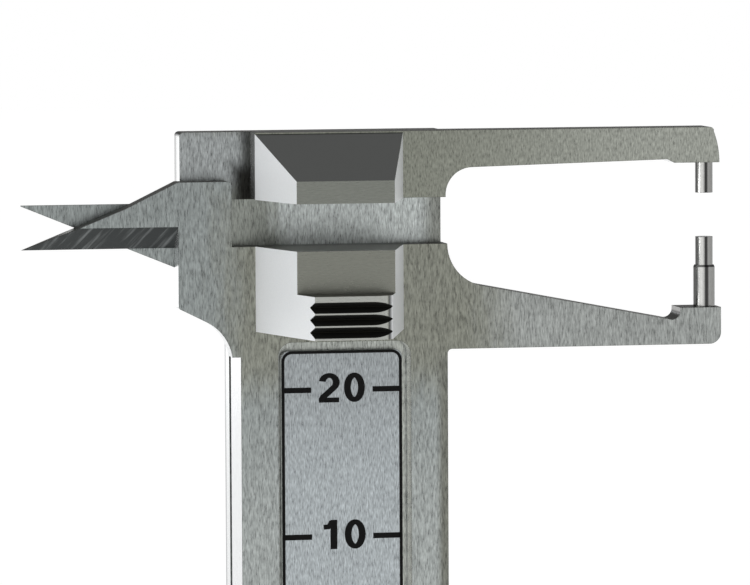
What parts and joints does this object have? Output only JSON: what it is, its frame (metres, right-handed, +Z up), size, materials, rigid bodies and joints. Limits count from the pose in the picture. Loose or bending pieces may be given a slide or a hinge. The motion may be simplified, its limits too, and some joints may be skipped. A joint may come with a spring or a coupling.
{
  "type": "dial gemstone gauge",
  "caption": "Flat steel stem with a round dial, a printed scale window, a thumb block, crossing pointed jaws on one side and two long anvil arms on the other.",
  "frame": {"origin": "on the flat back of the rear cover, behind the dial's axis", "axes": "+Z up the stem towards the jaws, +X towards the anvil arms, +Y out of the flat back"},
  "size_m": [0.0478, 0.0159, 0.1106],
  "materials": {
    "brushed_steel": "brushed along the stem",
    "ground_steel": "fine ground",
    "screw_steel": "satin",
    "blued_steel": "blued",
    "satin_chrome": "satin",
    "brass": "polished",
    "clear_glass": "clear, gloss",
    "white_paint": "matt",
    "black_paint": "matt"
  },
  "bodies": {
    "root": {"front_body": "brushed_steel", "rear_cover": "brushed_steel", "cover_screws": "screw_steel", "scale_plate": "brushed_steel", "scale_screws": "screw_steel", "fixed_thumb_block": "brushed_steel", "fixed_block_screws": "screw_steel", "fixed_anvil_sleeve": "ground_steel", "fixed_anvil_pin": "ground_steel", "dial_housing": "brushed_steel", "housing_screws": "screw_steel", "front_bush": "brass", "movement_bridge": "brass", "rear_bush": "brass", "bridge_screws": "screw_steel", "take_up_post": "screw_steel", "hairspring": "blued_steel", "hairspring_stud": "brass", "travel_stop_pin": "screw_steel", "gib_spring": "ground_steel", "gib_screws": "screw_steel", "bezel_snap_wire": "ground_steel", "bezel_clamp": "ground_steel"},
    "slide": {"slide_plate": "brushed_steel", "upper_arm": "brushed_steel", "arm_screws": "screw_steel", "moving_thumb_block": "brushed_steel", "thumb_block_screws": "screw_steel", "moving_anvil_pin": "ground_steel", "rack": "brass", "rack_screws": "screw_steel", "index_cursor": "black_paint"},
    "pointer_arbor": {"pinion_arbor": "brass", "pointer": "black_paint", "pointer_cap": "brass"},
    "take_up": {"take_up_wheel": "brass"},
    "bezel": {"bezel": "satin_chrome", "crystal": "clear_glass", "dial_face": "white_paint", "dial_ring": "satin_chrome"},
    "lock_screw": {"bezel_clamp_screw": "satin_chrome"}
  },
  "joints": [
    {"name": "jaw_slide", "type": "slide", "parent": "root", "child": "slide", "axis": [0, 0, 1], "range_m": [-0.003, 0.019]},
    {"name": "pointer_turn", "type": "hinge", "parent": "root", "child": "pointer_arbor", "pos_m": [0, -0.004, 0], "axis": [0, 1, 0], "range_deg": [-108, 684]},
    {"name": "take_up_turn", "type": "hinge", "parent": "root", "child": "take_up", "pos_m": [0.00637, -0.0085, 0], "axis": [0, 1, 0], "range_deg": [-228, 36]},
    {"name": "bezel_turn", "type": "hinge", "parent": "root", "child": "bezel", "pos_m": [0, -0.01, 0], "axis": [0, 1, 0], "continuous": true},
    {"name": "lock_screw_turn", "type": "hinge", "parent": "root", "child": "lock_screw", "pos_m": [0.01933, -0.0095, -0.01354], "axis": [0, -1, 0], "range_deg": [0, 360]}
  ],
  "couplings": [
    {"joint": "pointer_turn", "follows": "jaw_slide", "rad_per_m": 628.32},
    {"joint": "take_up_turn", "follows": "jaw_slide", "rad_per_m": -209.44}
  ]
}
